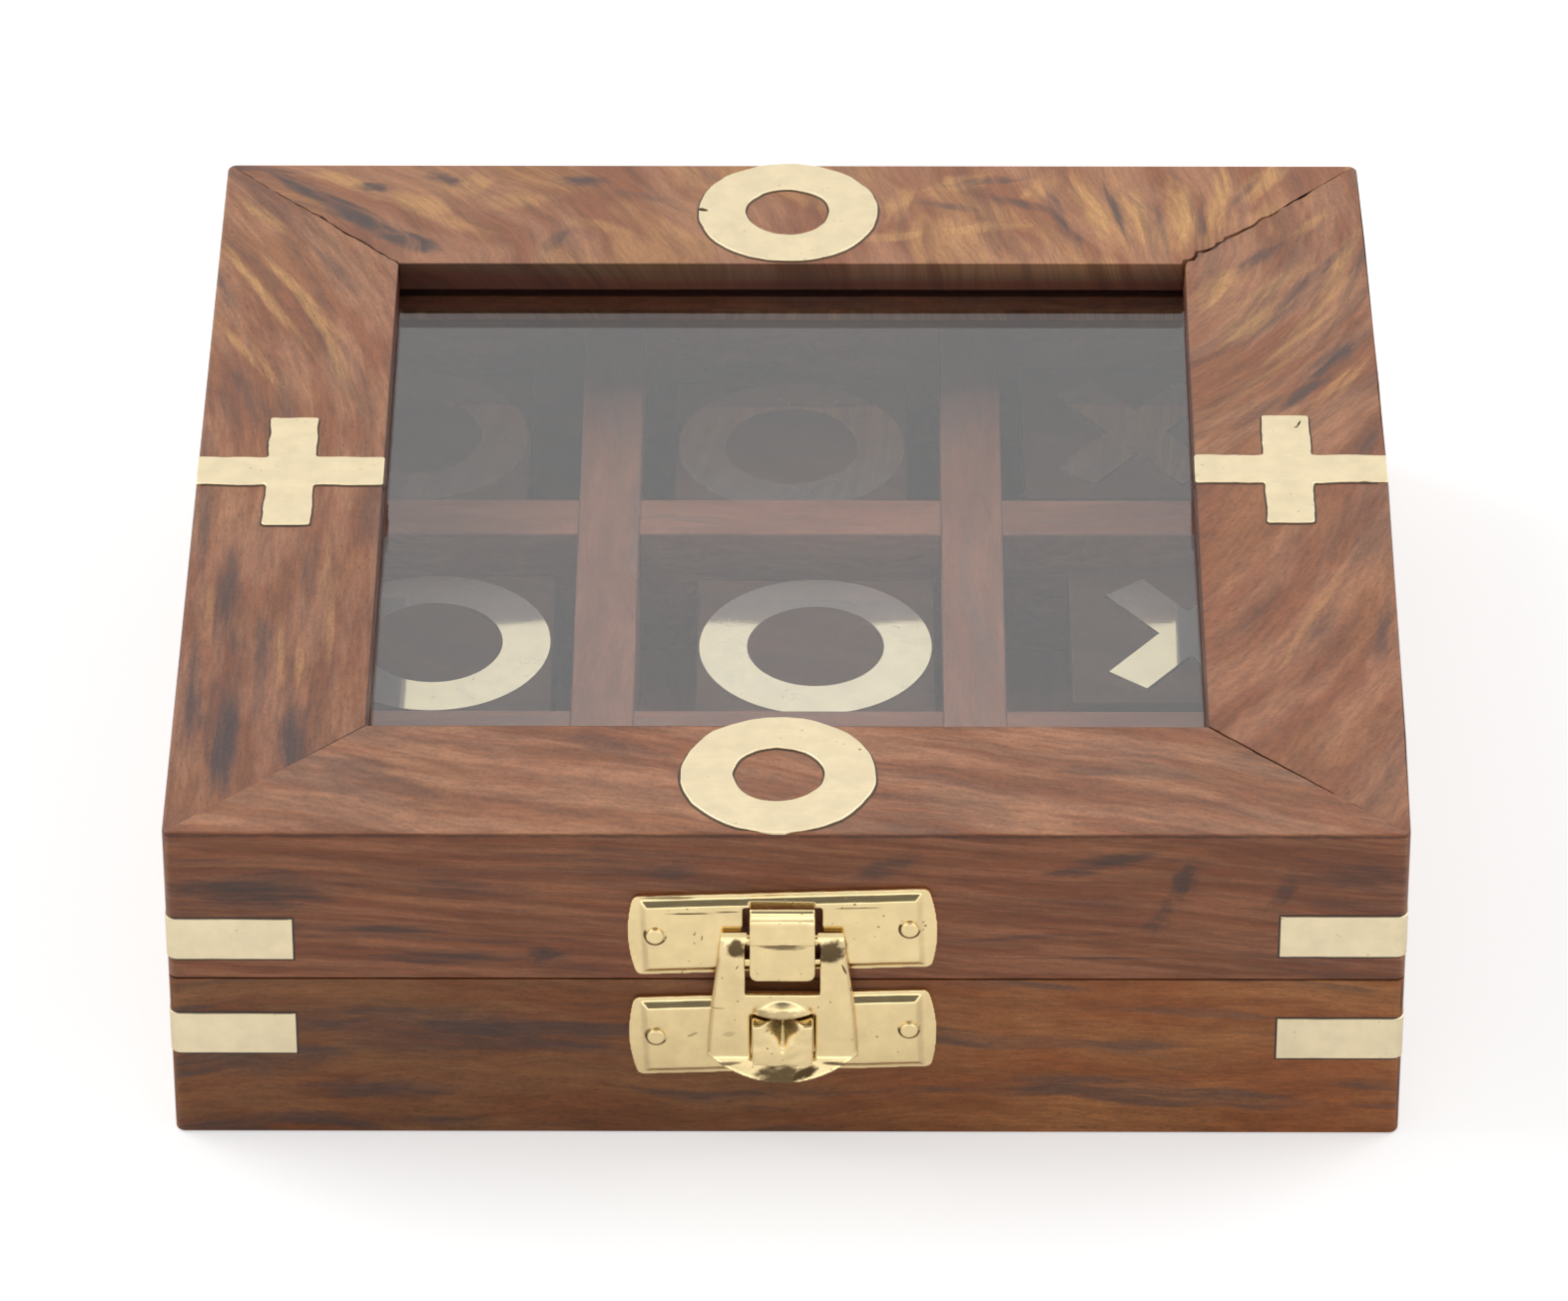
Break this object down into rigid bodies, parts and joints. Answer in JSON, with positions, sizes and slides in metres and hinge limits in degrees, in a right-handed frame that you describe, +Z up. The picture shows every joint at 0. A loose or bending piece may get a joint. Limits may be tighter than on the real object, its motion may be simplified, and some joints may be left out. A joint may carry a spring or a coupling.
{
  "type": "wooden game box",
  "caption": "Square hinged wooden box with a glass window in its lid, brass inlays, a front latch and loose noughts-and-crosses pieces in compartments.",
  "frame": {"origin": "middle of the flat underside of the base", "axes": "+X to the right and +Y to the back as seen by someone who faces the latch, +Z up"},
  "size_m": [0.1529, 0.1572, 0.0465],
  "materials": {
    "rail_wood": "satin oiled hardwood, reddish brown with dark streaks",
    "wall_wood": "satin oiled hardwood, darker reddish brown",
    "inner_wood": "plain sanded hardwood",
    "tile_wood": "dark sanded hardwood",
    "inlay_brass": "brushed pale brass",
    "symbol_brass": "polished pale brass",
    "latch_brass": "pressed bright brass",
    "hinge_brass": "dull brass",
    "glass": "clear sheet glass"
  },
  "bodies": {
    "base": {"base_wall_front": "wall_wood", "base_wall_back": "wall_wood", "base_wall_left": "wall_wood", "base_wall_right": "wall_wood", "floor_panel": "inner_wood", "divider_left": "inner_wood", "divider_right": "inner_wood", "divider_front": "inner_wood", "divider_back": "inner_wood", "base_strap_front_left": "inlay_brass", "base_strap_front_right": "inlay_brass", "base_strap_back_left": "inlay_brass", "base_strap_back_right": "inlay_brass", "catch_plate": "latch_brass", "catch_plate_nails": "latch_brass", "hinge_lower_leaf_left": "hinge_brass", "hinge_lower_leaf_right": "hinge_brass", "hinge_lower_screws": "hinge_brass", "hinge_pins": "hinge_brass"},
    "lid": {"lid_rail_front": "rail_wood", "lid_rail_back": "rail_wood", "lid_rail_left": "rail_wood", "lid_rail_right": "rail_wood", "window_glass": "glass", "glass_bead_front": "inner_wood", "glass_bead_back": "inner_wood", "glass_bead_left": "inner_wood", "glass_bead_right": "inner_wood", "lid_ring_front": "inlay_brass", "lid_ring_back": "inlay_brass", "lid_plus_left": "inlay_brass", "lid_plus_right": "inlay_brass", "lid_strap_front_left": "inlay_brass", "lid_strap_front_right": "inlay_brass", "lid_strap_back_left": "inlay_brass", "lid_strap_back_right": "inlay_brass", "latch_plate": "latch_brass", "latch_plate_nails": "latch_brass", "hinge_upper_leaf_left": "hinge_brass", "hinge_upper_leaf_right": "hinge_brass", "hinge_upper_screws": "hinge_brass"},
    "hasp": {"latch_hasp": "latch_brass"},
    "piece_front_left": {"tile_front_left": "tile_wood", "cross_front_left": "symbol_brass"},
    "piece_front_centre": {"tile_front_centre": "tile_wood", "nought_front_centre": "symbol_brass"},
    "piece_front_right": {"tile_front_right": "tile_wood", "cross_front_right": "symbol_brass"},
    "piece_middle_left": {"tile_middle_left": "tile_wood", "nought_middle_left": "symbol_brass"},
    "piece_middle_centre": {"tile_middle_centre": "tile_wood", "nought_middle_centre": "symbol_brass"},
    "piece_middle_right": {"tile_middle_right": "tile_wood", "cross_middle_right": "symbol_brass"},
    "piece_back_left": {"tile_back_left": "tile_wood", "nought_back_left": "symbol_brass"},
    "piece_back_centre": {"tile_back_centre": "tile_wood", "nought_back_centre": "symbol_brass"},
    "piece_back_right": {"tile_back_right": "tile_wood", "cross_back_right": "symbol_brass"}
  },
  "joints": [
    {"name": "lid_hinge", "type": "hinge", "parent": "base", "child": "lid", "pos_m": [0, 0.0748, 0.02405], "axis": [-1, 0, 0], "range_deg": [0, 100]},
    {"name": "hasp_pivot", "type": "hinge", "parent": "lid", "child": "hasp", "pos_m": [-0.00045, -0.0782, 0.0319], "axis": [-1, 0, 0], "range_deg": [0, 180]},
    {"name": "lift_front_left", "type": "slide", "parent": "base", "child": "piece_front_left", "axis": [0, 0, 1], "range_m": [0, 0.0184]},
    {"name": "lift_front_centre", "type": "slide", "parent": "base", "child": "piece_front_centre", "axis": [0, 0, 1], "range_m": [0, 0.0184]},
    {"name": "lift_front_right", "type": "slide", "parent": "base", "child": "piece_front_right", "axis": [0, 0, 1], "range_m": [0, 0.0184]},
    {"name": "lift_middle_left", "type": "slide", "parent": "base", "child": "piece_middle_left", "axis": [0, 0, 1], "range_m": [0, 0.0184]},
    {"name": "lift_middle_centre", "type": "slide", "parent": "base", "child": "piece_middle_centre", "axis": [0, 0, 1], "range_m": [0, 0.0184]},
    {"name": "lift_middle_right", "type": "slide", "parent": "base", "child": "piece_middle_right", "axis": [0, 0, 1], "range_m": [0, 0.0184]},
    {"name": "lift_back_left", "type": "slide", "parent": "base", "child": "piece_back_left", "axis": [0, 0, 1], "range_m": [0, 0.0184]},
    {"name": "lift_back_centre", "type": "slide", "parent": "base", "child": "piece_back_centre", "axis": [0, 0, 1], "range_m": [0, 0.0184]},
    {"name": "lift_back_right", "type": "slide", "parent": "base", "child": "piece_back_right", "axis": [0, 0, 1], "range_m": [0, 0.0184]}
  ]
}
